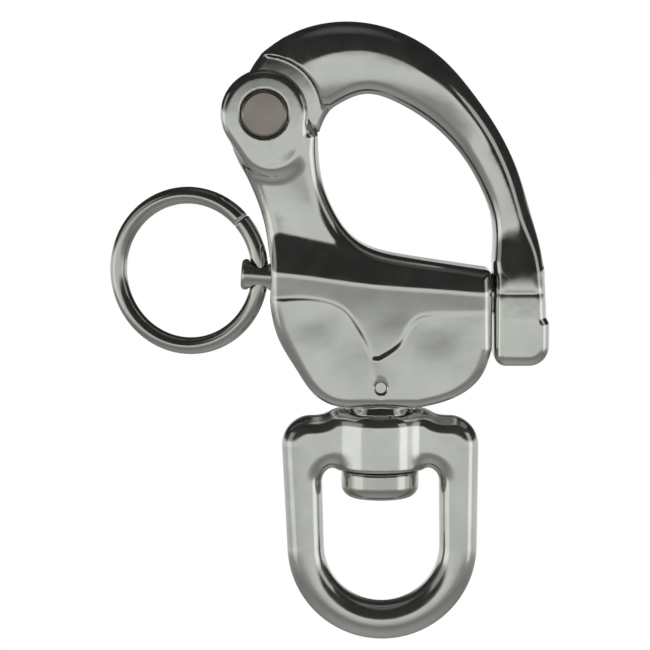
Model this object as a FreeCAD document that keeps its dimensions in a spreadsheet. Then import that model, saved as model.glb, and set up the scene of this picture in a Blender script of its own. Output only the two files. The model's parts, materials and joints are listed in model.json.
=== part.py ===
import FreeCAD, Part
import math
import os

# Snap shackle with a swivel eye, built in its working attitude: jaw on top, swivel eye below.
# Axes: +X from the pull ring towards the gate's tip, +Z up along the swivel axis, Y across the castings.
# Origin: on the swivel axis, half way up the jaw opening, in the castings' mid plane.

Vec = FreeCAD.Vector
DOC = FreeCAD.newDocument("snap_shackle")

# ---------------------------------------------------------------- driving dimensions

DIMENSIONS = {
    # hinge of the gate
    "pivot_x": -16.18,
    "pivot_z": 8.30,
    "ear_radius": 6.05,
    "ear_width": 10.5,
    "ear_rim_round": 0.95,
    "ear_tip_x": -15.25,
    "ear_tip_z": 4.5,
    "ear_tip_radius": 4.7,
    "slot_width": 4.7,
    "slot_radius": 6.4,
    "hinge_pin_diameter": 4.4,
    "hinge_hole_diameter": 4.5,
    "rivet_head_diameter": 6.2,
    "rivet_seat_diameter": 7.0,
    "rivet_seat_depth": 0.8,
    "rivet_head_proud": 0.15,
    "rivet_head_chamfer": 0.25,
    # body casting
    "plate_thickness": 9.7,
    "plate_edge_round": 1.4,
    "barrel_diameter": 12.6,
    "wedge_thickness": 11.0,
    "spigot_diameter": 9.4,
    "spigot_bottom": -34.05,
    "spigot_top": -30.0,
    # plunger and its bore
    "plunger_axis_z": -15.77,
    "plunger_tilt": 4.3,
    "nose_diameter": 5.4,
    "nose_back": 2.7,
    "nose_tip": 18.85,
    "nose_round": 0.5,
    "tail_diameter": 4.4,
    "tail_tip": -19.6,
    "tail_round": 0.9,
    "bore_diameter": 5.5,
    "bore_floor": -11.3,
    "tail_hole_diameter": 4.5,
    "tail_seat_diameter": 9.0,
    "tail_seat_x": -15.25,
    "cross_hole_x": -16.95,
    "cross_hole_diameter": 3.3,
    "catch_hole_diameter": 5.7,
    "catch_hole_bottom": 19.7,
    # spring
    "spring_wire": 0.4,
    "spring_mean_diameter": 4.95,
    "spring_turns": 10,
    "spring_end_gap": 0.02,
    # pull ring
    "ring_radius": 10.66,
    "ring_wire": 2.4,
    "ring_tilt": 18.0,
    "ring_droop": 3.0,
    "ring_seam_angle": 1.4,
    "ring_seam_at": 45.0,
    # gate casting
    "arm_thickness": 8.2,
    "arm_edge_round": 2.2,
    "shoulder_radius": 8.0,
    "tongue_thickness": 4.5,
    "tongue_radius": 5.9,
    "tongue_start": 112.0,
    "tongue_end": 341.0,
    "lug_thickness": 9.2,
    "lug_edge_round": 1.2,
    # swivel eye and stud
    "eye_thickness": 6.2,
    "eye_edge_round": 2.3,
    "eye_top": -35.4,
    "eye_half_width": 13.9,
    "eye_waist_half_width": 13.4,
    "eye_bow_z": -52.75,
    "eye_corner_radius": 4.2,
    "eye_window_top": -41.5,
    "eye_window_half_width": 8.2,
    "eye_window_corner": 2.0,
    "boss_diameter": 11.9,
    "boss_top": -34.15,
    "boss_bottom": -41.85,
    "boss_round": 0.6,
    "shoulder_half_width": 8.5,
    "shoulder_run": 1.9,
    "shoulder_rise": 0.35,
    "shoulder_depth": 1.2,
    "shoulder_thickness": 3.0,
    "stud_diameter": 6.0,
    "stud_hole_diameter": 6.1,
    "stud_top": -26.8,
    "stud_head_diameter": 10.9,
    "stud_head_top": -41.95,
    "stud_head_bottom": -45.9,
    "stud_head_round": 1.6,
    "stud_head_top_round": 0.5,
    "lock_pin_diameter": 1.5,
    "lock_pin_z": -29.8,
    "lock_pin_length": 9.6,
    # how far cutting tools reach: across the castings, and along the plunger
    "cutter_reach": 8.0,
    "cutter_run": 20.0,
    # how far pieces that are joined or cut run into each other
    "lap": 1.0,
}

SHEET = DOC.addObject("Spreadsheet::Sheet", "Dims")
for row, (alias, number) in enumerate(DIMENSIONS.items(), start=1):
    SHEET.set(f"A{row}", alias)
    SHEET.set(f"B{row}", str(number))
    SHEET.setAlias(f"B{row}", alias)
DOC.recompute()


def dim(alias):
    """A driving dimension, read back from the sheet."""
    return float(getattr(SHEET, alias))


def bind(target, **expressions):
    """Binds an object's properties to the sheet; `@name` in an expression is that cell."""
    for prop, expression in expressions.items():
        target.setExpression(prop, expression.replace("@", "Dims."))


# ---------------------------------------------------------------- sketching helpers


def plane_of(body, role):
    return next(f for f in body.Origin.OriginFeatures if f.Role == role)


def new_sketch(body, name, role):
    """A sketch on one of the body's own origin planes."""
    sketch = body.newObject("Sketcher::SketchObject", name)
    sketch.AttachmentSupport = [(plane_of(body, role), "")]
    sketch.MapMode = "FlatFace"
    return sketch


def flat(points):
    return [Vec(x, y, 0) for x, y in points]


def line(*points):
    """Straight runs through the points."""
    points = flat(points)
    return [Part.LineSegment(a, b) for a, b in zip(points, points[1:])]


def arc(start, middle, end):
    return [Part.Arc(*flat([start, middle, end]))]


def curve(*points):
    """One smooth curve through the points."""
    spline = Part.BSplineCurve()
    spline.interpolate(flat(points))
    return [spline]


def polar(centre, radius, degrees):
    angle = math.radians(degrees)
    return (centre[0] + radius * math.cos(angle), centre[1] + radius * math.sin(angle))


def pad_outline(name, runs, thickness, role="XZ_Plane"):
    """A body padded both ways from its mid plane; returns the body and its pad."""
    body = DOC.addObject("PartDesign::Body", name)
    DOC.recompute()
    sketch = new_sketch(body, name + "_outline", role)
    for run in runs:
        for piece in run:
            sketch.addGeometry(piece, False)
    pad = body.newObject("PartDesign::Pad", name + "_pad")
    pad.Profile = sketch
    pad.SideType = "Symmetric"
    bind(pad, Length=thickness)
    DOC.recompute()
    return body, pad


def edges_in_planes(shape, axis, levels):
    """Names of the edges that lie in planes square to an axis (0, 1 or 2) at these levels."""
    names = []
    for number, edge in enumerate(shape.Edges, start=1):
        box = edge.BoundBox
        low = (box.XMin, box.YMin, box.ZMin)[axis]
        high = (box.XMax, box.YMax, box.ZMax)[axis]
        if any(abs(low - level) < 1e-3 and abs(high - level) < 1e-3 for level in levels):
            names.append(f"Edge{number}")
    return names


def round_faces(body, pad, thickness, radius):
    """Rounds the rims of a pad's two flat faces."""
    half = dim(thickness.strip("@")) / 2
    fillet = body.newObject("PartDesign::Fillet", body.Name + "_round")
    fillet.Base = (pad, edges_in_planes(pad.Shape, 1, [-half, half]))
    bind(fillet, Radius=radius)
    DOC.recompute()
    return fillet


# ---------------------------------------------------------------- frames and round solids

PIVOT = (dim("pivot_x"), dim("pivot_z"))
LOCK_PIN_AT = (0, dim("lock_pin_z"))
TURN = {
    "x": FreeCAD.Rotation(Vec(0, 1, 0), 90),
    "y": FreeCAD.Rotation(Vec(1, 0, 0), -90),
    "z": FreeCAD.Rotation(),
}
PLUNGER_FRAME = FreeCAD.Placement(
    Vec(0, 0, dim("plunger_axis_z")), FreeCAD.Rotation(Vec(0, 1, 0), dim("plunger_tilt"))
)


def value_of(expression):
    """What an expression over the sheet's cells comes to."""
    return float(SHEET.evalExpression(expression.replace("@", "Dims.")))


def rod(name, diameter, start, end, axis="z", centre=(0, 0), frame=None):
    """A cylinder from start to end along an axis; centre holds the other two coordinates, in order."""
    solid = DOC.addObject("Part::Cylinder", name)
    bind(solid, Radius=f"({diameter}) / 2", Height=f"({end}) - ({start})")
    base = list(centre)
    base.insert("xyz".index(axis), value_of(start))
    placed = FreeCAD.Placement(Vec(*base), TURN[axis])
    solid.Placement = frame.multiply(placed) if frame else placed
    return solid


def drill(name, diameter, centre):
    """A cutter that goes right across the castings."""
    return rod(name, diameter, "-@cutter_reach", "@cutter_reach", "y", centre)


def bore(name, diameter, start, end):
    """A cylinder along the plunger's axis."""
    return rod(name, diameter, start, end, "x", frame=PLUNGER_FRAME)


def join(name, pieces):
    solid = DOC.addObject("Part::MultiFuse", name)
    solid.Shapes = pieces
    return solid


def cut(name, base, tools):
    """The base with the tools cut away; a single tool is used as it is."""
    solid = DOC.addObject("Part::Cut", name)
    solid.Base = base
    solid.Tool = tools[0] if len(tools) == 1 else join(name + "_tools", tools)
    return solid


def common(name, first, second):
    solid = DOC.addObject("Part::Common", name)
    solid.Base = first
    solid.Tool = second
    return solid


# ---------------------------------------------------------------- body casting

LEFT_SIDE = [
    (-21.6, 5.4), (-20.05, 1.84), (-17.09, -4.94), (-15.7, -11.5), (-15.5, -17.5),
    (-14.7, -23.0), (-12.1, -27.5), (-8.9, -31.0), (-5.0, -32.75),
]
LOWER_RIGHT = [(5.4, -32.75), (11.0, -31.0), (14.0, -28.4), (15.4, -24.5)]
JAW_FLOOR = [(13.6, -13.5), (3.8, -11.95), (-3.39, -9.6), (-6.78, -4.94), (-8.33, -0.42), (-8.75, 5.0)]


def casting_outline():
    """Side outline of the body below its ears."""
    return [
        curve(*LEFT_SIDE),
        line(LEFT_SIDE[-1], LOWER_RIGHT[0]),
        curve(*LOWER_RIGHT),
        line(LOWER_RIGHT[-1], (15.4, -15.3)),
        arc((15.4, -15.3), (14.9, -14.05), JAW_FLOOR[0]),
        curve(*JAW_FLOOR),
        line(JAW_FLOOR[-1], LEFT_SIDE[0]),
    ]


def make_ears():
    """The two ears as one boss: a disc about the hinge drawn out to a blunt tip on the neck."""
    radius = dim("ear_radius")
    tip_radius = dim("ear_tip_radius")
    tip = (dim("ear_tip_x"), dim("ear_tip_z"))
    lean = math.degrees(math.atan2(tip[1] - PIVOT[1], tip[0] - PIVOT[0]))
    apart = math.dist(tip, PIVOT)
    open_angle = math.degrees(math.acos((radius - tip_radius) / apart))
    left, right = lean - open_angle, lean + open_angle
    outline = [
        arc(polar(PIVOT, radius, right), polar(PIVOT, radius, lean + 180), polar(PIVOT, radius, left)),
        line(polar(PIVOT, radius, left), polar(tip, tip_radius, left)),
        arc(polar(tip, tip_radius, left), polar(tip, tip_radius, lean), polar(tip, tip_radius, right)),
        line(polar(tip, tip_radius, right), polar(PIVOT, radius, right)),
    ]
    body, pad = pad_outline("ears", outline, "@ear_width")
    round_faces(body, pad, "@ear_width", "@ear_rim_round")
    return body


def make_barrel():
    """The swelling round the plunger's bore, no higher than the jaw's floor."""
    block = pad_outline("barrel_block", casting_outline(), "2 * @cutter_reach")[0]
    tube = bore("barrel_tube", "@barrel_diameter", "-@cutter_run", "@cutter_run")
    return common("barrel", block, tube)


def make_wedge():
    """The raised middle that runs from the barrel down to the swivel axis, between two dished sides."""
    outline = [
        line((15.3, -15.0), (15.3, -19.4), (9.0, -19.6)),
        curve((9.0, -19.6), (4.9, -20.6), (2.4, -23.4), (0.6, -26.5)),
        line((0.6, -26.5), (0.6, -31.5), (-1.0, -31.5), (-1.2, -26.0)),
        curve((-1.2, -26.0), (-3.6, -21.4), (-7.3, -18.3), (-13.2, -17.4)),
        line((-13.2, -17.4), (-13.2, -15.0), (15.3, -15.0)),
    ]
    return pad_outline("wedge", outline, "@wedge_thickness")[0]


def make_body():
    plate, plate_pad = pad_outline("plate", casting_outline(), "@plate_thickness")
    round_faces(plate, plate_pad, "@plate_thickness", "@plate_edge_round")
    spigot = rod("spigot", "@spigot_diameter", "@spigot_bottom", "@spigot_top")
    solid = join("body_solid", [plate, make_ears(), make_barrel(), make_wedge(), spigot])
    half_slot = "@slot_width / 2"
    seat_inner = "@ear_width / 2 - @rivet_seat_depth"
    tools = [
        rod("slot", "2 * @slot_radius", "-" + half_slot, half_slot, "y", PIVOT),
        drill("hinge_bore", "@hinge_pin_diameter", PIVOT),
        rod("front_seat", "@rivet_seat_diameter", "-@cutter_reach", "-(" + seat_inner + ")", "y", PIVOT),
        rod("rear_seat", "@rivet_seat_diameter", seat_inner, "@cutter_reach", "y", PIVOT),
        bore("nose_bore", "@bore_diameter", "@bore_floor", "@cutter_run"),
        bore("tail_bore", "@tail_hole_diameter", "-@cutter_run", "@bore_floor + @lap"),
        bore("tail_seat", "@tail_seat_diameter", "-@cutter_run", "@tail_seat_x"),
        rod("stud_bore", "@stud_diameter", "@spigot_bottom - @lap", "@stud_top"),
        drill("lock_pin_bore", "@lock_pin_diameter", LOCK_PIN_AT),
    ]
    return cut("shackle_body", solid, tools)


# ---------------------------------------------------------------- gate casting

GATE_OUTER = [
    (-17.3, 15.95), (-13.41, 18.78), (-4.66, 20.97), (2.0, 19.75), (7.77, 16.52), (12.99, 10.87),
    (16.8, 5.22), (19.49, -0.42), (21.1, -5.5), (22.4, -9.8), (23.1, -13.5),
]
GATE_INNER = [
    (15.65, -12.2), (15.75, -9.0), (15.3, -5.5), (14.1, -2.4), (12.43, 0.71), (9.88, 4.09),
    (6.07, 7.48), (2.26, 9.74), (-1.9, 10.95), (-6.9, 8.9),
]


def make_gate():
    arm_outline = [
        curve(*GATE_OUTER),
        line(GATE_OUTER[-1], (23.2, -22.0), (17.0, -22.0), (16.7, -14.3), GATE_INNER[0]),
        curve(*GATE_INNER),
        line(GATE_INNER[-1], (-11.0, 8.9), GATE_OUTER[0]),
    ]
    arm, arm_pad = pad_outline("arm", arm_outline, "@arm_thickness")
    round_faces(arm, arm_pad, "@arm_thickness", "@arm_edge_round")
    clear = drill("shoulder", "2 * @shoulder_radius", PIVOT)
    shouldered = cut("shouldered_arm", arm, [clear])

    radius = dim("tongue_radius")
    first, last = dim("tongue_start"), dim("tongue_end")
    start, end = polar(PIVOT, radius, first), polar(PIVOT, radius, last)
    heel = (-8.55, 5.7)
    tongue_outline = [
        arc(start, polar(PIVOT, radius, (first + last) / 2), end),
        line(end, heel),
        curve(heel, (-7.75, 7.6), (-6.2, 9.75)),
        line((-6.2, 9.75), (-3.5, 14.5), (-9.5, 19.0), (-13.41, 18.78)),
        curve((-13.41, 18.78), (-15.2, 17.55), (-17.0, 16.0), start),
    ]
    tongue = pad_outline("tongue", tongue_outline, "@tongue_thickness")[0]

    lug_outline = [
        line((16.6, -14.4), (16.55, -26.3)),
        arc((16.55, -26.3), (16.95, -27.2), (17.9, -27.55)),
        line((17.9, -27.55), (21.6, -27.55)),
        arc((21.6, -27.55), (23.1, -26.9), (23.8, -25.4)),
        line((23.8, -25.4), (23.85, -20.8), (23.25, -20.0), (23.2, -14.4)),
        line((23.2, -14.4), (16.6, -14.4)),
    ]
    lug, lug_pad = pad_outline("lug", lug_outline, "@lug_thickness")
    round_faces(lug, lug_pad, "@lug_thickness", "@lug_edge_round")

    casting = join("gate_casting", [shouldered, tongue, lug])
    tools = [
        drill("gate_hinge_hole", "@hinge_hole_diameter", PIVOT),
        bore("catch_hole", "@catch_hole_diameter", "@cutter_reach", "@catch_hole_bottom"),
    ]
    return cut("gate", casting, tools)


# ---------------------------------------------------------------- turned and bent pieces


def revolve_profile(name, points, role, axis):
    """A body turned from a half profile about one of the sketch's own axes."""
    body = DOC.addObject("PartDesign::Body", name)
    DOC.recompute()
    sketch = new_sketch(body, name + "_profile", role)
    for piece in line(*points, points[0]):
        sketch.addGeometry(piece, False)
    turned = body.newObject("PartDesign::Revolution", name + "_turned")
    turned.Profile = sketch
    turned.ReferenceAxis = (sketch, [axis])
    turned.Angle = 360
    DOC.recompute()
    return body


def make_hinge_rivet():
    """A pin with a head sunk in each ear."""
    seat = dim("ear_width") / 2 - dim("rivet_seat_depth")
    face = dim("ear_width") / 2 + dim("rivet_head_proud")
    head = dim("rivet_head_diameter") / 2
    pin = dim("hinge_pin_diameter") / 2
    chamfer = dim("rivet_head_chamfer")
    half = [(pin, seat), (head, seat), (head, face - chamfer), (head - chamfer, face), (0, face)]
    mirrored = [(x, -y) for x, y in reversed(half)]
    body = revolve_profile("hinge_rivet", half + mirrored, "XY_Plane", "V_Axis")
    body.Placement = FreeCAD.Placement(Vec(PIVOT[0], 0, PIVOT[1]), TURN["z"])
    return body


def make_plunger():
    """Nose and tail in one turned pin, drilled crosswise through the tail for the ring."""
    nose = rod("nose", "@nose_diameter", "@nose_back", "@nose_tip", "x")
    tail = rod("tail", "@tail_diameter", "@tail_tip", "@nose_back + @lap", "x")
    pin = join("plunger_pin", [nose, tail])
    DOC.recompute()
    ends = DOC.addObject("Part::Fillet", "plunger_rounded")
    ends.Base = pin
    rims = []
    for level, radius in ((dim("nose_tip"), dim("nose_round")), (dim("tail_tip"), dim("tail_round"))):
        for edge in edges_in_planes(pin.Shape, 0, [level]):
            rims.append((int(edge[4:]), radius, radius))
    ends.Edges = rims
    reach = "@tail_diameter"
    hole = rod("cross_hole", "@cross_hole_diameter", "-" + reach, reach, centre=(dim("cross_hole_x"), 0))
    plunger = cut("plunger", ends, [hole])
    plunger.Placement = PLUNGER_FRAME
    return plunger


def make_spring():
    """A round wire spring between the bore's floor and the back of the nose."""
    helix = DOC.addObject("Part::Helix", "spring_path")
    length = "@nose_back - @bore_floor - @spring_wire - 2 * @spring_end_gap"
    bind(helix, Radius="@spring_mean_diameter / 2", Height=length, Pitch=f"({length}) / @spring_turns")
    section = DOC.addObject("Part::Circle", "spring_section")
    bind(section, Radius="@spring_wire / 2")
    section.Placement = FreeCAD.Placement(
        Vec(dim("spring_mean_diameter") / 2, 0, 0), FreeCAD.Rotation(Vec(1, 0, 0), 90)
    )
    DOC.recompute()
    spring = DOC.addObject("Part::Sweep", "plunger_spring")
    spring.Sections = [section]
    spring.Spine = (helix, ["Edge1"])
    spring.Solid = True
    spring.Frenet = True
    start = dim("bore_floor") + dim("spring_wire") / 2 + dim("spring_end_gap")
    spring.Placement = PLUNGER_FRAME.multiply(FreeCAD.Placement(Vec(start, 0, 0), TURN["x"]))
    return spring


def make_ring():
    """A ring of round wire whose ends meet in a butt joint; it hangs in the plunger's cross hole."""
    ring = DOC.addObject("Part::Torus", "pull_ring")
    bind(ring, Radius1="@ring_radius", Radius2="@ring_wire / 2", Angle3="360 - @ring_seam_angle")
    upright = FreeCAD.Placement(Vec(0, 0, 0), FreeCAD.Rotation(Vec(1, 0, 0), 90))
    seam = FreeCAD.Placement(Vec(0, 0, 0), FreeCAD.Rotation(Vec(0, 0, 1), dim("ring_seam_at")))
    away = FreeCAD.Placement(Vec(-dim("ring_radius"), 0, 0), TURN["z"])
    droop = FreeCAD.Placement(Vec(0, 0, 0), FreeCAD.Rotation(Vec(0, 1, 0), -dim("ring_droop")))
    hinge = FreeCAD.Placement(
        Vec(dim("cross_hole_x"), 0, 0), FreeCAD.Rotation(Vec(0, 0, 1), -dim("ring_tilt"))
    )
    ring.Placement = PLUNGER_FRAME
    for step in (hinge, droop, away, upright, seam):
        ring.Placement = ring.Placement.multiply(step)
    return ring


# ---------------------------------------------------------------- swivel eye and its stud


def make_eye():
    """A bail with a bored boss: the stud passes through the boss and its head sits in the window."""
    top, half, waist = dim("eye_top"), dim("eye_half_width"), dim("eye_waist_half_width")
    corner, bow_z = dim("eye_corner_radius"), dim("eye_bow_z")
    window_top, window = dim("eye_window_top"), dim("eye_window_half_width")
    window_corner = dim("eye_window_corner")
    outer_corner = (half - corner, top - corner)
    inner_corner = (window - window_corner, window_top - window_corner)
    outer_middle = polar(outer_corner, corner, 45)
    inner_middle = polar(inner_corner, window_corner, 45)
    outline = [
        line((-outer_corner[0], top), (outer_corner[0], top)),
        arc((outer_corner[0], top), outer_middle, (half, outer_corner[1])),
        line((half, outer_corner[1]), (waist, bow_z)),
        arc((waist, bow_z), (0, bow_z - waist), (-waist, bow_z)),
        line((-waist, bow_z), (-half, outer_corner[1])),
        arc((-half, outer_corner[1]), (-outer_middle[0], outer_middle[1]), (-outer_corner[0], top)),
        line((-inner_corner[0], window_top), (inner_corner[0], window_top)),
        arc((inner_corner[0], window_top), inner_middle, (window, inner_corner[1])),
        line((window, inner_corner[1]), (window, bow_z)),
        arc((window, bow_z), (0, bow_z - window), (-window, bow_z)),
        line((-window, bow_z), (-window, inner_corner[1])),
        arc((-window, inner_corner[1]), (-inner_middle[0], inner_middle[1]), (-inner_corner[0], window_top)),
    ]
    bail, pad = pad_outline("bail", outline, "@eye_thickness")
    round_faces(bail, pad, "@eye_thickness", "@eye_edge_round")

    boss_top, boss_bottom = dim("boss_top"), dim("boss_bottom")
    boss, round_by = dim("boss_diameter") / 2, dim("boss_round")
    boss_profile = [
        (0, boss_bottom), (boss - round_by, boss_bottom), (boss, boss_bottom + round_by),
        (boss, boss_top - round_by), (boss - round_by, boss_top), (0, boss_top),
    ]
    hub = revolve_profile("boss", boss_profile, "XZ_Plane", "V_Axis")
    reach, run = dim("shoulder_half_width"), dim("shoulder_run")
    rise, depth = dim("shoulder_rise"), dim("shoulder_depth")
    crest = (boss - round_by, boss_top - round_by / 4)
    shoulder_outline = [
        line((-reach, top - depth), (-reach, top)),
        curve((-reach, top), (run - reach, top + rise), (-crest[0], crest[1])),
        line((-crest[0], crest[1]), crest),
        curve(crest, (reach - run, top + rise), (reach, top)),
        line((reach, top), (reach, top - depth), (-reach, top - depth)),
    ]
    shoulder = pad_outline("shoulders", shoulder_outline, "@shoulder_thickness")[0]
    solid = join("eye_solid", [bail, hub, shoulder])
    hole = rod("stud_hole", "@stud_hole_diameter", "@boss_bottom - @lap", "@boss_top + @lap")
    return cut("swivel_eye", solid, [hole])


def make_stud():
    """Shank through the boss into the body, with a button head under the boss."""
    shank = rod("stud_shank", "@stud_diameter", "@stud_head_top - @lap", "@stud_top")
    head = rod("stud_head", "@stud_head_diameter", "@stud_head_bottom", "@stud_head_top")
    DOC.recompute()
    button = DOC.addObject("Part::Fillet", "stud_button")
    button.Base = head
    rims = []
    for level, rounding in (
        ("stud_head_bottom", "stud_head_round"),
        ("stud_head_top", "stud_head_top_round"),
    ):
        for edge in edges_in_planes(head.Shape, 2, [dim(level)]):
            rims.append((int(edge[4:]), dim(rounding), dim(rounding)))
    button.Edges = rims
    solid = join("stud_solid", [shank, button])
    hole = drill("stud_cross_hole", "@lock_pin_diameter", LOCK_PIN_AT)
    return cut("swivel_stud", solid, [hole])


def make_lock_pin():
    """A headless pin across the body that keeps the stud from turning out."""
    half = "@lock_pin_length / 2"
    return rod("stud_lock_pin", "@lock_pin_diameter", "-" + half, half, "y", LOCK_PIN_AT)


# ---------------------------------------------------------------- build, check and write

PIECES = [
    make_body(),
    make_gate(),
    make_hinge_rivet(),
    make_plunger(),
    make_spring(),
    make_ring(),
    make_eye(),
    make_stud(),
    make_lock_pin(),
]
DOC.recompute()

for item in DOC.Objects:
    if {"Invalid", "Error"} & set(item.State):
        raise RuntimeError(f"{item.Label}: {item.State}")

os.makedirs("parts", exist_ok=True)
for piece in PIECES:
    shape = piece.Shape
    if shape.isNull() or not shape.isValid() or len(shape.Solids) != 1:
        raise RuntimeError(f"{piece.Label}: no single valid solid ({len(shape.Solids)} solids)")
    shape.exportStep(f"parts/{piece.Label}.step")
    box = shape.BoundBox
    print(
        f"{piece.Label:16s} {shape.Volume:9.1f} mm3"
        f"  x {box.XMin:7.2f} {box.XMax:7.2f}  y {box.YMin:6.2f} {box.YMax:6.2f}"
        f"  z {box.ZMin:7.2f} {box.ZMax:7.2f}"
    )
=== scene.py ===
import json
import math

import bpy
import numpy as np
import openvdb
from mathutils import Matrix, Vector


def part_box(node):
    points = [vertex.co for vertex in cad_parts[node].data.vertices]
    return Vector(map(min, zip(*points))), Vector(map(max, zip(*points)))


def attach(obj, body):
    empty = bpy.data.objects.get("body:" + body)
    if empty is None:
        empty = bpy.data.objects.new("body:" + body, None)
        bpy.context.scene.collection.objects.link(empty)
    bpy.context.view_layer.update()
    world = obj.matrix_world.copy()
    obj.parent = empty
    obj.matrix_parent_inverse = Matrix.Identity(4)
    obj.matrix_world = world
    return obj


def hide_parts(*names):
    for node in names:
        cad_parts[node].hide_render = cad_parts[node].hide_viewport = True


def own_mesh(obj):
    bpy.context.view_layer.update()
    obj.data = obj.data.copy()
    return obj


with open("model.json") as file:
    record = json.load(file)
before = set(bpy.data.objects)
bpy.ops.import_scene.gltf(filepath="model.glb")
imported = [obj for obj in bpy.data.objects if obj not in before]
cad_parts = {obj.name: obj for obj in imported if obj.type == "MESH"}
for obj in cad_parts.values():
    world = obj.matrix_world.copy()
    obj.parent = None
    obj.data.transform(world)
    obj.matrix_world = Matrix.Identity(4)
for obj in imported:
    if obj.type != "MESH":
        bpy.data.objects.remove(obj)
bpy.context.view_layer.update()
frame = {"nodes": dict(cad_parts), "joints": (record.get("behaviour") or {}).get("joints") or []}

# Shapes are worked out in millimetres, in the frame's axes: +X towards the gate's lug, +Z up, Y across.
MM = 0.001
JOINTS = {joint["name"]: joint for joint in frame["joints"]}


def in_mm(name, key="pos_m"):
    return np.array(JOINTS[name][key], float) / MM


PIVOT = in_mm("gate_pivot")[[0, 2]]
PLUNGER_AT = in_mm("plunger_spin")[[0, 2]]
PLUNGER_ALONG = np.array(JOINTS["plunger_spin"]["axis"], float)[[0, 2]]

# ---------------------------------------------------------------- side outlines, as (x, z) points

BODY_LEFT = [
    (-21.6, 5.4), (-19.85, 1.84), (-16.85, -4.94), (-15.55, -11.5), (-15.45, -17.5),
    (-14.3, -23.0), (-11.7, -27.5), (-8.9, -31.2), (-5.6, -32.65), (-4.4, -32.75),
]
BODY_RIGHT = [(5.4, -32.75), (11.0, -31.0), (14.0, -28.4), (15.5, -24.5)]
JAW_FLOOR = [(14.6, -13.45), (3.8, -11.8), (-3.35, -9.45), (-6.78, -4.94), (-8.33, -0.42), (-8.75, 5.3)]
WEDGE_RIGHT = [
    (15.3, -19.1), (7.8, -19.5), (5.0, -20.1), (3.7, -21.6), (2.7, -23.5), (1.2, -24.8), (-0.3, -25.7),
]
WEDGE_LEFT = [(-1.2, -25.7), (-2.0, -23.6), (-3.4, -21.1), (-5.1, -18.9), (-7.2, -17.8), (-13.6, -17.4)]
GATE_OUTER = [
    (-17.3, 15.95), (-13.41, 18.78), (-4.66, 20.97), (2.0, 19.75), (7.77, 16.52), (12.99, 10.87),
    (16.8, 5.22), (19.4, -0.42), (20.95, -5.5), (22.15, -9.8), (22.85, -13.5),
]
GATE_INNER = [
    (15.65, -12.2), (15.75, -9.0), (15.3, -5.5), (14.1, -2.4), (12.43, 0.71), (9.88, 4.09),
    (6.07, 7.48), (2.26, 9.74), (-1.9, 10.95), (-6.9, 8.9),
]


def spline(points, steps=36):
    """Points along a natural cubic spline through the given ones."""
    p = np.array(points, float)
    t = np.concatenate([[0.0], np.cumsum(np.hypot(*np.diff(p, axis=0).T))])
    h = np.diff(t)
    n = len(t)
    matrix = np.eye(n)
    right = np.zeros((n, 2))
    for i in range(1, n - 1):
        matrix[i, i - 1 : i + 2] = h[i - 1], 2 * (h[i - 1] + h[i]), h[i]
        right[i] = 6 * ((p[i + 1] - p[i]) / h[i] - (p[i] - p[i - 1]) / h[i - 1])
    bend = np.linalg.solve(matrix, right)
    out = []
    for i in range(n - 1):
        s = (np.linspace(0, h[i], steps, endpoint=False))[:, None]
        slope = (p[i + 1] - p[i]) / h[i] - h[i] * (2 * bend[i] + bend[i + 1]) / 6
        out.append(p[i] + slope * s + bend[i] * s**2 / 2 + (bend[i + 1] - bend[i]) / (6 * h[i]) * s**3)
    return np.concatenate(out + [p[-1:]])


def arc(centre, radius, start, end, steps=24):
    """Points along an arc, from one angle in degrees to another."""
    a = np.radians(np.linspace(start, end, steps))
    return np.stack([centre[0] + radius * np.cos(a), centre[1] + radius * np.sin(a)], 1)


def closed(*runs):
    """One closed outline from several runs of points."""
    points = np.concatenate([np.array(run, float) for run in runs])
    return np.concatenate([points, points[:1]])


# ---------------------------------------------------------------- distance fields


def clamp(v, low=0.0, high=1.0):
    return np.minimum(np.maximum(v, low), high)


def ramp(v, start, end):
    """0 before start, 1 after end, smooth between."""
    s = clamp((v - start) / (end - start))
    return s * s * (3 - 2 * s)


def melt(a, b, k):
    """Union of two shapes, with a fillet about k wide."""
    s = clamp(0.5 + 0.5 * (b - a) / k)
    return b + (a - b) * s - k * s * (1 - s)


def both(a, b, k):
    """Where two shapes overlap, with the edge rounded over about k."""
    return -melt(-a, -b, k)


def carve(a, b, k):
    """Shape a without shape b, with the rim rounded over about k."""
    return both(a, -b, k)


def path_distance(path, x, z):
    """Distance from each point of the side view to a run of straight pieces."""
    best = np.full(np.broadcast(x, z).shape, 1e9)
    for (ax, az), (bx, bz) in zip(path, path[1:]):
        dx, dz = bx - ax, bz - az
        along = clamp(((x - ax) * dx + (z - az) * dz) / (dx * dx + dz * dz + 1e-12))
        best = np.minimum(best, (x - ax - along * dx) ** 2 + (z - az - along * dz) ** 2)
    return np.sqrt(best)


def outline_distance(path, x, z):
    """Signed distance to a closed outline, negative inside it."""
    inside = np.zeros(np.broadcast(x, z).shape, bool)
    for (ax, az), (bx, bz) in zip(path, path[1:]):
        if az == bz:
            continue
        crosses = (az > z) != (bz > z)
        inside ^= crosses & (x < (bx - ax) * (z - az) / (bz - az) + ax)
    return np.where(inside, -1.0, 1.0) * path_distance(path, x, z)


def slab(outline, across, half, edge):
    """An outline given thickness: half to each side, its rims rounded to a radius of edge."""
    a = outline + edge
    b = np.abs(across) - half + edge
    return np.minimum(np.maximum(a, b), 0) + np.hypot(np.maximum(a, 0), np.maximum(b, 0)) - edge


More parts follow.
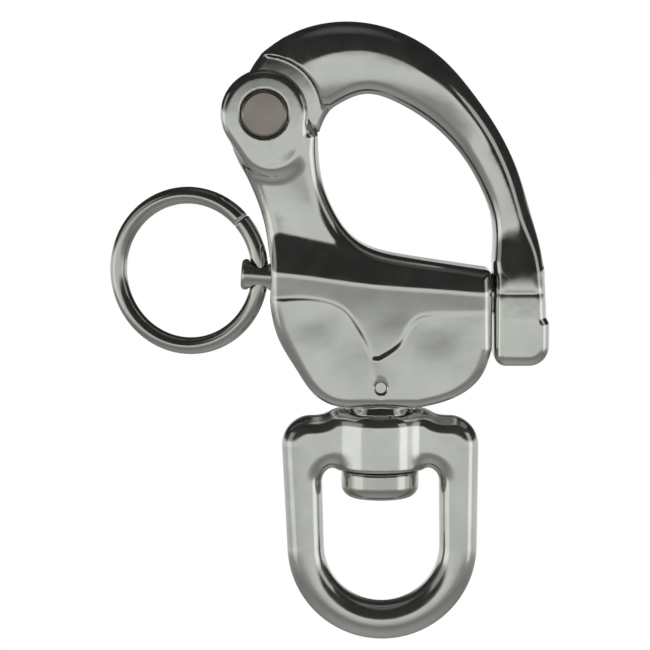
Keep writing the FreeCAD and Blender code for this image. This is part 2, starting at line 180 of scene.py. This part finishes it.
def drop(x, z, centre, radius, tip, tip_radius):
    """Signed distance to a teardrop: a disc drawn out to a smaller one."""
    reach = np.hypot(tip[0] - centre[0], tip[1] - centre[1])
    ux, uz = (tip[0] - centre[0]) / reach, (tip[1] - centre[1]) / reach
    along = (x - centre[0]) * ux + (z - centre[1]) * uz
    aside = np.abs((x - centre[0]) * uz - (z - centre[1]) * ux)
    sine = (radius - tip_radius) / reach
    cosine = math.sqrt(1 - sine * sine)
    side = along * cosine - aside * sine
    near = np.hypot(along, aside) - radius
    far = np.hypot(along - reach, aside) - tip_radius
    flank = aside * cosine + along * sine - radius
    return np.where(side < 0, near, np.where(side > reach * cosine, far, flank))


# The barrel's upper half is an arc of this radius, its centre behind the mid plane and below the bore's
# axis, so that it meets the face below it in a crease.
ARC_RADIUS = 14.0
ARC_BACK = 8.28
ARC_FOOT = -2.19
CREST = 5.55

# The cross pin that locks the stud: its height, and the radius of the hole for it in each piece.
LOCK_PIN_HEIGHT = -29.8
PIN_HOLE_IN_BODY = 0.80
PIN_HOLE_IN_STUD = 0.76


class Block:
    """A box of sample points that a shape is measured on, and the mesh that comes of it."""

    def __init__(self, low, high, step):
        self.low, self.step = np.array(low, float), step
        counts = [int(math.ceil((b - a) / step)) + 1 for a, b in zip(low, high)]
        ticks = [a + step * np.arange(n) for a, n in zip(low, counts)]
        self.x = ticks[0][:, None, None]
        self.y = ticks[1][None, :, None]
        self.z = ticks[2][None, None, :]
        along, up = PLUNGER_ALONG
        self.u = (self.x - PLUNGER_AT[0]) * along + (self.z - PLUNGER_AT[1]) * up
        self.v = (self.z - PLUNGER_AT[1]) * along - (self.x - PLUNGER_AT[0]) * up
        self.from_pivot = np.hypot(self.x - PIVOT[0], self.z - PIVOT[1])
        self.from_plunger = np.hypot(self.v, self.y)
        self.from_swivel = np.hypot(self.x, self.y)

    def sample(self, field, points):
        """The field's value at points anywhere in the block, by trilinear interpolation."""
        at = (points - self.low) / self.step
        base = np.clip(np.floor(at).astype(int), 0, np.array(field.shape) - 2)
        part = at - base
        value = 0.0
        for corner in np.ndindex(2, 2, 2):
            weight = np.prod(np.where(corner, part, 1 - part), axis=1)
            value = value + weight * field[tuple((base + corner).T)]
        return value

    def slope(self, field, points):
        """The field's gradient at points, from central differences."""
        reach = 0.5 * self.step
        return np.stack(
            [
                self.sample(field, points + reach * axis) - self.sample(field, points - reach * axis)
                for axis in np.eye(3)
            ],
            1,
        ) / (2 * reach)

    def mesh(self, field, name, rounds=5):
        """The field's zero surface as quads, evened out and drawn back onto the surface."""
        field = np.broadcast_to(field, np.broadcast(self.x, self.y, self.z).shape)
        grid = openvdb.FloatGrid(float(4 * self.step))
        grid.copyFromArray(np.ascontiguousarray(field, dtype=np.float32))
        points, quads = grid.convertToQuads(isovalue=0.0)
        points = points.astype(float) * self.step + self.low
        quads = quads.astype(np.int64)
        ends = np.concatenate([quads[:, [0, 1]], quads[:, [1, 2]], quads[:, [2, 3]], quads[:, [3, 0]]])
        ends = np.concatenate([ends, ends[:, ::-1]])
        share = np.bincount(ends[:, 0], minlength=len(points))[:, None]
        for _ in range(rounds):
            mean = np.stack(
                [np.bincount(ends[:, 0], points[ends[:, 1], k], len(points)) for k in range(3)], 1
            ) / share
            points = points + 0.5 * (mean - points)
            slope = self.slope(field, points)
            length = np.maximum((slope**2).sum(1, keepdims=True), 0.05)
            points = points - self.sample(field, points)[:, None] * slope / length
        normals = self.slope(field, points)
        normals /= np.maximum(np.linalg.norm(normals, axis=1, keepdims=True), 1e-9)
        a, b, c = (points[quads[:, k]] for k in range(3))
        outward = (np.cross(b - a, c - a) * normals[quads[:, 0]]).sum() > 0
        quads = quads if outward else quads[:, ::-1]
        return surface(name, points, quads.tolist(), normals)


def surface(name, points, faces, normals=None):
    """A smooth mesh object from points in millimetres."""
    mesh = bpy.data.meshes.new(name)
    mesh.from_pydata((points * MM).tolist(), [], faces)
    mesh.shade_smooth()
    if normals is not None:
        mesh.normals_split_custom_set_from_vertices(normals.tolist())
    made = bpy.data.objects.new(name, mesh)
    bpy.context.scene.collection.objects.link(made)
    return made


# ---------------------------------------------------------------- the castings


def waves(x, y, z, height, length):
    """The slight unevenness that hand polishing leaves."""
    k = 2 * math.pi / length
    return height * (
        np.sin(k * (x + 0.31 * z) + 1.1) * np.sin(k * (0.83 * z - 0.22 * x) + 0.4)
        + 0.5 * np.sin(1.7 * k * (0.62 * x - 0.78 * z) + 2.0) * np.cos(1.3 * k * y)
    )


def body_front(block):
    """How far the body's front stands from the mid plane: neck, barrel, wedge and two dished sides."""
    x, z = block.x, block.z
    v = block.v - 0.2 - 0.65 * ramp(-x, 0.0, 14.0)
    wedge = outline_distance(
        closed(
            spline(WEDGE_RIGHT),
            spline(WEDGE_LEFT),
            [(-15.5, -17.4), (-15.5, -8.0), (17.0, -8.0), (17.0, -19.1)],
        ),
        x,
        z,
    )
    above = ARC_RADIUS**2 - (np.maximum(v, ARC_FOOT) - ARC_FOOT) ** 2
    upper = np.sqrt(np.maximum(above, 0.1)) - ARC_BACK
    lower = CREST + 0.10 * v + 0.0035 * np.minimum(v, 0) ** 2
    barrel = melt(upper, lower, 0.12)
    groove = np.exp(-((x + 1.1 + 0.16 * (z + 26)) ** 2) / 0.4)
    groove = groove * ramp(z, -24.5, -26.5) * ramp(z, -30.5, -28.0)
    pads = (
        5.38
        - 0.4 * ramp(z, -17.0, -31.0)
        - 0.1 * np.exp(-((x + 8.5) ** 2 + (z + 23.5) ** 2) / 18)
        - 0.1 * np.exp(-((x - 7.5) ** 2 + (z + 25.0) ** 2) / 20)
        - 0.06 * groove
        - 0.05 * ramp(np.hypot((x + 0.05) / 0.85, (z - LOCK_PIN_HEIGHT) / 1.4), 1.3, 0.75)
    )
    side = pads + (barrel - pads) * ramp(-wedge, -0.45, 0.45)
    lean = 1.2 * ramp(path_distance(spline(JAW_FLOOR), x, z), 0.5, 11.0) * ramp(z, -13.0, 2.0)
    neck = 4.4 + 0.45 * ramp(z, -6.0, 3.0) - lean
    fillet = 0.05 + 0.9 * ramp(z, -16.0, -13.5)
    return np.where(v > -1.0, -melt(-barrel, -neck, fillet), side)


def body_shape(block):
    """Ears, neck and lower half of the body, with the swelling round the plunger's bore."""
    x, y, z = block.x, block.y, block.z
    left, floor = spline(BODY_LEFT), spline(JAW_FLOOR)
    outline = closed(
        left,
        spline(BODY_RIGHT),
        arc((14.6, -14.35), 0.9, 0, 90),
        floor,
        [(-9.3, 6.2), (-9.9, 7.4), (-12.0, 8.3), (-18.0, 6.5)],
    )
    casting = outline_distance(outline, x, z)
    jaw_side = ramp(path_distance(left, x, z) - path_distance(floor, x, z), -2.0, 2.0)
    neck = ramp(z, -14.0, -9.0)
    edge = 1.8 + 0.5 * jaw_side * neck - 0.4 * ramp(z, -20.0, -30.0)
    edge = edge - (edge - 1.95) * ramp(z, 3.0, 5.5)
    unevenness = waves(x, y, z, 0.012 + 0.01 * ramp(z, -18.0, -21.0), 11.0)
    shape = slab(casting, y, body_front(block) + unevenness, edge)

    spigot = slab(block.from_swivel - 4.75 + 0.38 * (z + 34.05), z + 31.5, 2.55, 0.2)
    shape = melt(shape, spigot, 0.12)

    ear_half = 5.25 - 0.0024 * np.maximum(z, 0) ** 2
    ears = slab(drop(x, z, PIVOT, 6.05, (-15.25, 4.5), 4.7), y, ear_half, 1.05)
    shape = melt(shape, ears, 0.4 + 1.2 * ramp(z, 5.0, 0.5))

    slot = np.minimum(block.from_pivot - 6.4, np.maximum(block.from_pivot - 9.0, 5.35 - z))
    shape = carve(shape, slab(slot, y, 2.35, 0.1), 0.3)
    shape = carve(shape, block.from_pivot - 2.2, 0.2)
    shape = carve(shape, np.maximum(block.from_pivot - 3.3, 4.45 - np.abs(y)), 0.2)
    shape = carve(shape, np.maximum(block.from_plunger - 2.75, -11.3 - block.u), 0.3)
    shape = carve(shape, block.from_plunger - 2.25, 0.2)
    shape = carve(shape, slab(block.from_plunger - 4.5, block.u + 25.25, 10.0, 0.4), 0.3)
    shape = carve(shape, np.maximum(block.from_swivel - 3.0, z + 26.8), 0.2)
    return carve(shape, np.hypot(x, z - LOCK_PIN_HEIGHT) - PIN_HOLE_IN_BODY, 0.2)


def gate_shape(block):
    """The hook-shaped arm, the tongue that goes between the ears and the lug for the plunger's nose."""
    x, y, z = block.x, block.y, block.z
    outer, inner = spline(GATE_OUTER), spline(GATE_INNER)
    arm = outline_distance(
        closed(outer, [(23.2, -24.0), (17.0, -24.0), (15.8, -14.3)], inner, [(-11.0, 8.9)]), x, z
    )
    lug = outline_distance(
        closed(
            [(15.75, -13.0)],
            arc((17.45, -25.3), 1.6, 180, 270, 10),
            arc((20.7, -24.1), 2.8, 270, 360, 12),
            [(23.5, -20.9), (23.0, -20.0), (22.85, -13.0)],
        ),
        x,
        z,
    )
    to_outer, to_inner = path_distance(outer, x, z), path_distance(inner, x, z)
    across = (to_inner - to_outer) / (to_inner + to_outer)
    on_arm = ramp(z, -12.0, -6.0)
    high = ramp(z, 3.0, 14.0)
    flare = ramp(z, -7.0, -16.6)
    crown = 0.28 * (across + 0.15) ** 2 + 0.75 * np.maximum(across - 0.22, 0) ** 1.3
    half = 3.4 + 0.95 * high - 0.32 * ramp(z, -9.0, 4.0) + 1.1 * flare - on_arm * crown
    half = half + 0.24 * clamp((-16.9 - z) / 3.5) - 0.05 * np.exp(-(((z + 16.6) / 0.35) ** 2))
    edge = 1.9 + (0.3 + 0.5 * high) * ramp(across, -0.5, 0.5) * on_arm - 0.4 * ramp(z, -14.0, -18.0)
    shape = slab(np.minimum(arm, lug), y, half + waves(x, y, z, 0.012, 11.0), edge)

    shape = carve(shape, block.from_pivot - 8.0, 0.35)
    tongue = outline_distance(
        closed(
            arc(PIVOT, 5.9, 112, 341, 60),
            spline([(-8.6, 5.5), (-7.8, 7.5), (-6.2, 9.75)]),
            [(-3.5, 14.5), (-9.5, 19.0)],
            spline([(-13.41, 18.72), (-15.2, 17.5), (-17.0, 15.95), tuple(arc(PIVOT, 5.9, 112, 112, 1)[0])]),
        ),
        x,
        z,
    )
    shape = melt(shape, slab(tongue, y, 2.25 - 0.006 * np.maximum(z - 8.0, 0) ** 2, 0.9), 0.3)
    shape = carve(shape, block.from_pivot - 2.25, 0.2)
    catch = np.maximum(block.from_plunger - 2.85, np.abs(block.u - 14.85) - 4.85)
    return carve(shape, catch, 0.3)


def eye_shape(block):
    """The bail with its bored boss."""
    x, y, z = block.x, block.y, block.z
    bail = outline_distance(
        closed(
            spline([(5.2, -33.3), (6.4, -33.4), (7.9, -34.1), (9.8, -34.35)]),
            arc((9.8, -38.4), 4.05, 90, 0),
            arc((0.3, -52.75), 13.4, 0, -180, 64),
            arc((-9.8, -38.4), 4.05, 180, 90),
            spline([(-9.8, -34.35), (-7.9, -34.1), (-6.4, -33.4), (-5.2, -33.3)]),
        ),
        x,
        z,
    )
    window = outline_distance(
        closed(
            arc((6.35, -43.5), 2.0, 90, 0, 12),
            arc((0.25, -52.7), 8.2, 0, -180, 64),
            arc((-6.2, -43.5), 2.0, 180, 90, 12),
        ),
        x,
        z,
    )
    shape = slab(np.maximum(bail, -window), y, 3.1, 2.45)
    boss = slab(block.from_swivel - 5.95, z + 37.675, 4.175, 0.5 + 1.6 * ramp(z, -39.0, -37.0))
    shape = melt(shape, boss, 1.5)
    shape = carve(shape, np.maximum(block.from_swivel - 4.9, -34.15 - z), 0.15)
    return carve(shape, np.maximum(block.from_swivel - 3.05, -45.0 - z), 0.25)


def stud_shape(block):
    """The stud that carries the eye: a shank held in the body and a domed head under the boss."""
    head_edge = 0.45 + 1.4 * ramp(block.z, -42.6, -43.8)
    shape = slab(block.from_swivel - 5.45, block.z + 43.925, 1.975, head_edge)
    shank = slab(block.from_swivel - 2.95, block.z + 35.5, 8.5, 0.4)
    shape = melt(shape, shank, 0.3)
    return carve(shape, np.hypot(block.x, block.z - LOCK_PIN_HEIGHT) - PIN_HOLE_IN_STUD, 0.05)


def plunger_shape(block):
    """The turned pin: its nose, and a thinner tail drilled crosswise for the ring."""
    nose = slab(block.from_plunger - 2.7, block.u - 10.775, 8.075, 0.5)
    tail = slab(block.from_plunger - 2.2, block.u + 7.95, 11.65, 0.7)
    return carve(np.minimum(nose, tail), np.hypot(block.u + 16.95, block.y) - 1.65, 0.3)


def cast(name, shape, step):
    """A casting's mesh in place of its CAD node, with a margin of empty samples all round."""
    low, high = (np.array(corner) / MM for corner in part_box(name))
    margin = 6 * step
    block = Block(low - margin, high + margin, step)
    made = block.mesh(shape(block), name + "_cast")
    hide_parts(name)
    return made


STEP = 0.25
body = cast("shackle_body", body_shape, STEP)
gate = cast("gate", gate_shape, STEP)
eye = cast("swivel_eye", eye_shape, STEP)
stud = cast("swivel_stud", stud_shape, STEP)
plunger = cast("plunger", plunger_shape, STEP)
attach(body, "body")
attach(gate, "gate_arm")
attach(eye, "eye")
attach(stud, "body")
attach(plunger, "plunger_pin")


# ---------------------------------------------------------------- the round wire: ring and spring


def bend_wire(name, centres, outward, beside, wire):
    """Round wire of radius wire in place of a CAD node: its centre line, and two directions across it."""
    thick = np.full(len(centres), wire)
    thick[[0, -1]] = 0.9 * wire
    around = np.linspace(0, 2 * math.pi, 32, endpoint=False)[None, :, None]
    across = np.cos(around) * outward[:, None] + np.sin(around) * beside[:, None]
    points = centres[:, None] + thick[:, None, None] * across
    rings, count = points.shape[:2]
    faces = [
        (i * count + j, i * count + (j + 1) % count, (i + 1) * count + (j + 1) % count, (i + 1) * count + j)
        for i in range(rings - 1)
        for j in range(count)
    ]
    faces.append(tuple(range(count))[::-1])
    faces.append(tuple(range((rings - 1) * count, rings * count)))
    made = surface(name + "_wire", points.reshape(-1, 3), faces)
    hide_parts(name)
    return made


def make_ring(radius=10.66, wire=1.2, seam_at=45.0, gap=1.4):
    """The pull ring, bent round till its ends nearly meet; it lies where its CAD node lies."""
    cad = np.array([tuple(vertex.co) for vertex in frame["nodes"]["pull_ring"].data.vertices]) / MM
    normal = np.linalg.svd(cad - cad.mean(0), full_matrices=False)[2][2]
    hung_at = in_mm("ring_swing")
    across = hung_at - cad.mean(0)
    across -= normal * across.dot(normal)
    across /= np.linalg.norm(across)
    upward = np.cross(normal, across)
    upward *= math.copysign(1.0, upward[2])
    turn = np.radians(seam_at + np.linspace(gap / 2, 360 - gap / 2, 257))
    turn = np.concatenate([turn[:1], turn, turn[-1:]])[:, None]
    outward = np.cos(turn) * across + np.sin(turn) * upward
    centres = hung_at - radius * across + radius * outward
    return bend_wire("pull_ring", centres, outward, np.broadcast_to(normal, outward.shape), wire)


def make_spring(start=-11.08, end=2.48, radius=2.475, wire=0.2, turns=10, end_pitch=0.42):
    """The plunger's spring, wound along its bore, with a closed turn at each end."""
    along = np.array([PLUNGER_ALONG[0], 0.0, PLUNGER_ALONG[1]])
    upward = np.array([-PLUNGER_ALONG[1], 0.0, PLUNGER_ALONG[0]])
    origin = np.array([PLUNGER_AT[0], 0.0, PLUNGER_AT[1]])
    turn = np.linspace(0, turns, 40 * turns + 1)
    turn = np.concatenate([turn[:1], turn, turn[-1:]])[:, None]
    closed_part = end_pitch * (clamp(turn) + clamp(turn - turns + 1))
    open_part = clamp((turn - 1) / (turns - 2)) * (end - start - 2 * end_pitch)
    angle = 2 * math.pi * turn
    outward = np.cos(angle) * upward + np.sin(angle) * np.array([0.0, 1.0, 0.0])
    centres = origin + (start + closed_part + open_part) * along + radius * outward
    spring = bend_wire("plunger_spring", centres, outward, np.broadcast_to(along, outward.shape), wire)
    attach(spring, "plunger_turn")
    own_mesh(spring)
    return spring


ring = make_ring()
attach(ring, "ring")
spring = make_spring()

# ---------------------------------------------------------------- materials


def steel(name, colour, roughness, spread=0.04, wave=0.03, scratch=0.01):
    """Polished stainless steel: slight waviness, faint scratches and a roughness that wanders."""
    material = bpy.data.materials.new(name)
    material.use_nodes = True
    nodes, links = material.node_tree.nodes, material.node_tree.links
    shader = nodes["Principled BSDF"]
    shader.inputs["Metallic"].default_value = 1.0
    place = nodes.new("ShaderNodeTexCoord")

    def noise(scale, detail, stretch=(1, 1, 1)):
        mapping = nodes.new("ShaderNodeMapping")
        mapping.inputs["Scale"].default_value = stretch
        texture = nodes.new("ShaderNodeTexNoise")
        texture.inputs["Scale"].default_value = scale
        texture.inputs["Detail"].default_value = detail
        links.new(place.outputs["Object"], mapping.inputs["Vector"])
        links.new(mapping.outputs["Vector"], texture.inputs["Vector"])
        return texture.outputs["Fac"]

    def remap(value, low, high):
        node = nodes.new("ShaderNodeMapRange")
        node.inputs["From Min"].default_value = 0.3
        node.inputs["From Max"].default_value = 0.7
        node.inputs["To Min"].default_value = low
        node.inputs["To Max"].default_value = high
        links.new(value, node.inputs["Value"])
        return node.outputs["Result"]

    tint = nodes.new("ShaderNodeMix")
    tint.data_type = "RGBA"
    tint.inputs[6].default_value = (*[c * 0.9 for c in colour], 1)
    tint.inputs[7].default_value = (*colour, 1)
    links.new(remap(noise(160, 4), 0, 1), tint.inputs[0])
    links.new(tint.outputs[2], shader.inputs["Base Color"])
    links.new(remap(noise(420, 6), roughness - spread, roughness + spread), shader.inputs["Roughness"])

    swell = nodes.new("ShaderNodeBump")
    swell.inputs["Strength"].default_value = wave
    swell.inputs["Distance"].default_value = 0.001
    links.new(noise(220, 2), swell.inputs["Height"])
    scratches = nodes.new("ShaderNodeBump")
    scratches.inputs["Strength"].default_value = scratch
    scratches.inputs["Distance"].default_value = 0.00005
    links.new(noise(2600, 3, (1, 1, 0.4)), scratches.inputs["Height"])
    links.new(swell.outputs["Normal"], scratches.inputs["Normal"])
    links.new(scratches.outputs["Normal"], shader.inputs["Normal"])
    return material


def finish_with(made, material):
    """Gives an object its one material."""
    made.data.materials.clear()
    made.data.materials.append(material)


CASTING = steel("polished_casting", (0.66, 0.68, 0.63), 0.12)
EYE_STEEL = steel("satin_eye", (0.68, 0.70, 0.65), 0.17)
TURNED = steel("turned_steel", (0.62, 0.62, 0.57), 0.17, scratch=0.004)
RIVET = steel("ground_rivet", (0.42, 0.38, 0.34), 0.34)
WIRE = steel("drawn_wire", (0.58, 0.60, 0.55), 0.14, wave=0.01, scratch=0.002)

finish_with(body, CASTING)
finish_with(gate, CASTING)
finish_with(eye, EYE_STEEL)
finish_with(stud, TURNED)
finish_with(plunger, TURNED)
finish_with(ring, WIRE)
finish_with(spring, WIRE)
for node, material in {
    "hinge_rivet": RIVET,
    "stud_lock_pin": CASTING,
}.items():
    cad = frame["nodes"][node]
    cad.data.materials.clear()
    cad.data.materials.append(material)
    cad.data.shade_smooth()

# ---------------------------------------------------------------- floor, light and camera


FLOOR_RADIUS = 6.0
FLOOR_HEIGHT = -0.27

# What metal mirrors, from straight down (-1) to straight up (1): a floor, a pale wall and a dark ceiling.
ROOM_GREYS = [
    (-1.0, 0.40), (-0.55, 0.24), (-0.27, 0.36), (-0.18, 0.72),
    (0.03, 0.78), (0.14, 0.03), (0.90, 0.02), (1.0, 0.10),
]


def make_floor():
    """A plain white floor well below the object."""
    bpy.ops.mesh.primitive_circle_add(
        vertices=128, radius=FLOOR_RADIUS, fill_type="NGON", location=(0, 0, FLOOR_HEIGHT)
    )
    floor = bpy.context.object
    floor.name = "floor"
    paint = bpy.data.materials.new("pale_floor")
    paint.use_nodes = True
    shader = paint.node_tree.nodes["Principled BSDF"]
    shader.inputs["Base Color"].default_value = (1.0, 1.0, 1.0, 1.0)
    shader.inputs["Roughness"].default_value = 1.0
    shader.inputs["Specular IOR Level"].default_value = 0.0
    floor.data.materials.append(paint)
    floor.visible_glossy = False


def make_world():
    """A plain studio: white where it is seen or lights, and a grey gradient where metal mirrors it."""
    world = bpy.data.worlds.new("studio")
    bpy.context.scene.world = world
    world.use_nodes = True
    nodes, links = world.node_tree.nodes, world.node_tree.links
    shown = nodes["Background"]
    shown.inputs["Color"].default_value = (1, 1, 1, 1)
    shown.inputs["Strength"].default_value = 1.0
    mirrored = nodes.new("ShaderNodeBackground")
    place = nodes.new("ShaderNodeTexCoord")
    split = nodes.new("ShaderNodeSeparateXYZ")
    links.new(place.outputs["Generated"], split.inputs["Vector"])

    to_unit = nodes.new("ShaderNodeMapRange")
    to_unit.inputs["From Min"].default_value = -1
    links.new(split.outputs["Z"], to_unit.inputs["Value"])
    greys = nodes.new("ShaderNodeValToRGB")
    links.new(to_unit.outputs["Result"], greys.inputs["Fac"])
    elements = greys.color_ramp.elements
    while len(elements) < len(ROOM_GREYS):
        elements.new(0.5)
    for element, (height, grey) in zip(elements, ROOM_GREYS):
        element.position = (height + 1) / 2
        element.color = (grey, grey, grey, 1)
    links.new(greys.outputs["Color"], mirrored.inputs["Color"])
    path = nodes.new("ShaderNodeLightPath")
    choose = nodes.new("ShaderNodeMixShader")
    links.new(path.outputs["Is Glossy Ray"], choose.inputs[0])
    links.new(shown.outputs["Background"], choose.inputs[1])
    links.new(mirrored.outputs["Background"], choose.inputs[2])
    links.new(choose.outputs["Shader"], nodes["World Output"].inputs["Surface"])


def make_light(name, place, target, size, energy):
    """A soft box: an area lamp of this width and height, aimed at a target."""
    data = bpy.data.lights.new(name, "AREA")
    data.shape = "RECTANGLE"
    data.size, data.size_y = size
    data.energy = energy
    lamp = bpy.data.objects.new(name, data)
    lamp.location = place
    lamp.rotation_euler = (Vector(target) - Vector(place)).to_track_quat("-Z", "Y").to_euler()
    bpy.context.scene.collection.objects.link(lamp)


def make_camera():
    """The long lens that the object is seen through: level with the gate, looking slightly down."""
    frame_width = 0.0914
    distance = 0.42
    tilt = math.radians(6.0)
    target = Vector((-0.00777, 0.0, -0.0215))
    data = bpy.data.cameras.new("camera")
    data.sensor_width = 36.0
    data.lens = data.sensor_width * distance / frame_width
    camera = bpy.data.objects.new("camera", data)
    camera.location = target + Vector((0, -math.cos(tilt), math.sin(tilt))) * distance
    camera.rotation_euler = (target - camera.location).to_track_quat("-Z", "Y").to_euler()
    bpy.context.scene.collection.objects.link(camera)
    bpy.context.scene.camera = camera


make_floor()
make_world()
middle = (0.0, 0.0, -0.02)
make_light("left_box", (-0.8, -0.3, 0.05), middle, (0.5, 0.8), 0.4)
make_light("right_box", (0.8, -0.35, 0.05), middle, (0.4, 0.8), 0.5)
make_camera()
bpy.context.scene.view_settings.view_transform = "Standard"
